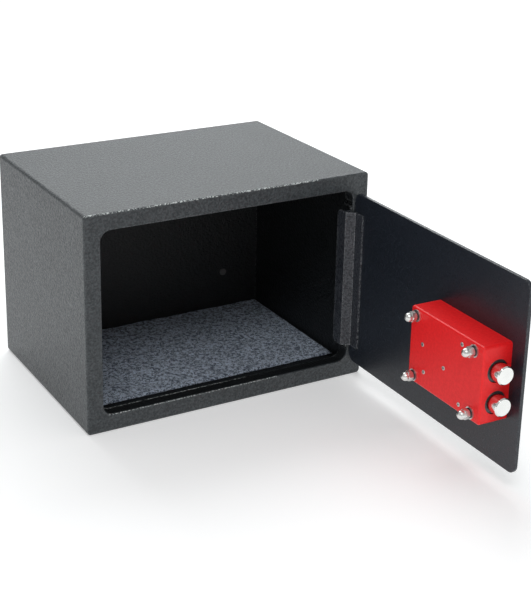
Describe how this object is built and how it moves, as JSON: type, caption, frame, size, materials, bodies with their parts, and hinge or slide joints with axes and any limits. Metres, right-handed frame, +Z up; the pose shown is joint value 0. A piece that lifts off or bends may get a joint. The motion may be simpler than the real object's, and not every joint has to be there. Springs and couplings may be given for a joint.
{
  "type": "hotel room safe",
  "caption": "Front-opening steel room safe with a hinged keypad door, round locking bolts worked by a knob through a slotted carrier, felt floor mat and boxed-in lock works.",
  "frame": {"origin": "centre of the cabinet's underside, z = 0 on the surface it stands on", "axes": "+X to the right seen from the front, +Z up, the door side faces -Y"},
  "size_m": [0.3766, 0.5577, 0.25],
  "materials": {
    "body_paint": "fine hammered dark grey powder coat",
    "door_paint": "fine hammered blue-black powder coat",
    "red_paint": "semi-gloss red paint with a very slight texture",
    "felt": "matt dark grey felt",
    "plug": "matt black",
    "bright_steel": "polished",
    "zinc_steel": "bright zinc",
    "black_steel": "dark oiled",
    "copper_coil": "wound coil under clear tape",
    "pad_plastic": "fine-textured black",
    "key_rubber": "soft dark grey",
    "knob_finish": "satin black",
    "led": "clear lens",
    "pcb": "green board",
    "cell": "printed sleeve",
    "brass": "turned"
  },
  "bodies": {
    "cabinet": {"body_shell": "body_paint", "rear_panel": "body_paint", "anchor_plugs": "plug", "floor_mat": "felt", "hinge_bracket_lower": "body_paint", "hinge_bracket_upper": "body_paint"},
    "door": {"door_plate": "door_paint", "hinge_strip": "door_paint", "hinge_pins": "black_steel", "lock_cover": "red_paint", "cover_studs": "zinc_steel", "cover_washers": "zinc_steel", "spring_washers": "black_steel", "acorn_nuts": "bright_steel", "cover_rivets": "zinc_steel", "bolt_guide": "black_steel", "guide_stud": "zinc_steel", "solenoid_bracket": "zinc_steel", "solenoid_frame": "zinc_steel", "solenoid_coil": "copper_coil", "spindle_bush": "brass", "keypad_housing": "pad_plastic", "led_lenses": "led", "keypad_pcb": "pcb", "battery_holder": "pad_plastic", "batteries": "cell", "pad_screws": "zinc_steel", "lock_barrel": "zinc_steel", "key_cover_pin": "zinc_steel"},
    "bolt_carrier": {"lock_bolts": "bright_steel", "bolt_screws": "black_steel", "carrier_plate": "zinc_steel"},
    "knob_set": {"knob": "knob_finish", "spindle": "zinc_steel", "crank": "zinc_steel"},
    "plunger": {"plunger": "bright_steel"},
    "key_plug": {"key_plug": "brass"},
    "key_cover": {"key_cover": "pad_plastic"},
    "battery_cover": {"battery_cover": "pad_plastic"},
    "key_1": {"key_1": "key_rubber"},
    "key_2": {"key_2": "key_rubber"},
    "key_3": {"key_3": "key_rubber"},
    "key_4": {"key_4": "key_rubber"},
    "key_5": {"key_5": "key_rubber"},
    "key_6": {"key_6": "key_rubber"},
    "key_7": {"key_7": "key_rubber"},
    "key_8": {"key_8": "key_rubber"},
    "key_9": {"key_9": "key_rubber"},
    "key_clear": {"key_clear": "key_rubber"},
    "key_0": {"key_0": "key_rubber"},
    "key_enter": {"key_enter": "key_rubber"}
  },
  "joints": [
    {"name": "door_hinge", "type": "hinge", "parent": "cabinet", "child": "door", "pos_m": [0.1575, -0.1207, 0.125], "axis": [0, 0, 1], "range_deg": [-89, 4]},
    {"name": "bolt_slide", "type": "slide", "parent": "door", "child": "bolt_carrier", "axis": [-0.0175, -0.9998, 0], "range_m": [0, 0.02]},
    {"name": "knob_turn", "type": "hinge", "parent": "door", "child": "knob_set", "pos_m": [0.1583, -0.32125, 0.115], "axis": [0.9998, -0.0175, 0], "range_deg": [0, 90.01]},
    {"name": "plunger_slide", "type": "slide", "parent": "door", "child": "plunger", "axis": [0, 0, 1], "range_m": [0, 0.004]},
    {"name": "key_turn", "type": "hinge", "parent": "door", "child": "key_plug", "pos_m": [0.1583, -0.32125, 0.084], "axis": [0.9998, -0.0175, 0], "range_deg": [0, 90]},
    {"name": "key_cover_swing", "type": "hinge", "parent": "door", "child": "key_cover", "pos_m": [0.1838, -0.32169, 0.0925], "axis": [0.9998, -0.0175, 0], "range_deg": [-75, 75]},
    {"name": "battery_cover_slide", "type": "slide", "parent": "door", "child": "battery_cover", "axis": [-0.0175, -0.9998, 0], "range_m": [0, 0.03]},
    {"name": "key_1_press", "type": "slide", "parent": "door", "child": "key_1", "axis": [-0.9998, 0.0175, 0], "range_m": [0, 0.0012], "stiffness_N_per_m": 400},
    {"name": "key_2_press", "type": "slide", "parent": "door", "child": "key_2", "axis": [-0.9998, 0.0175, 0], "range_m": [0, 0.0012], "stiffness_N_per_m": 400},
    {"name": "key_3_press", "type": "slide", "parent": "door", "child": "key_3", "axis": [-0.9998, 0.0175, 0], "range_m": [0, 0.0012], "stiffness_N_per_m": 400},
    {"name": "key_4_press", "type": "slide", "parent": "door", "child": "key_4", "axis": [-0.9998, 0.0175, 0], "range_m": [0, 0.0012], "stiffness_N_per_m": 400},
    {"name": "key_5_press", "type": "slide", "parent": "door", "child": "key_5", "axis": [-0.9998, 0.0175, 0], "range_m": [0, 0.0012], "stiffness_N_per_m": 400},
    {"name": "key_6_press", "type": "slide", "parent": "door", "child": "key_6", "axis": [-0.9998, 0.0175, 0], "range_m": [0, 0.0012], "stiffness_N_per_m": 400},
    {"name": "key_7_press", "type": "slide", "parent": "door", "child": "key_7", "axis": [-0.9998, 0.0175, 0], "range_m": [0, 0.0012], "stiffness_N_per_m": 400},
    {"name": "key_8_press", "type": "slide", "parent": "door", "child": "key_8", "axis": [-0.9998, 0.0175, 0], "range_m": [0, 0.0012], "stiffness_N_per_m": 400},
    {"name": "key_9_press", "type": "slide", "parent": "door", "child": "key_9", "axis": [-0.9998, 0.0175, 0], "range_m": [0, 0.0012], "stiffness_N_per_m": 400},
    {"name": "key_clear_press", "type": "slide", "parent": "door", "child": "key_clear", "axis": [-0.9998, 0.0175, 0], "range_m": [0, 0.0012], "stiffness_N_per_m": 400},
    {"name": "key_0_press", "type": "slide", "parent": "door", "child": "key_0", "axis": [-0.9998, 0.0175, 0], "range_m": [0, 0.0012], "stiffness_N_per_m": 400},
    {"name": "key_enter_press", "type": "slide", "parent": "door", "child": "key_enter", "axis": [-0.9998, 0.0175, 0], "range_m": [0, 0.0012], "stiffness_N_per_m": 400}
  ],
  "couplings": [
    {"joint": "knob_turn", "follows": "bolt_slide", "rad_per_m": 78.54}
  ]
}
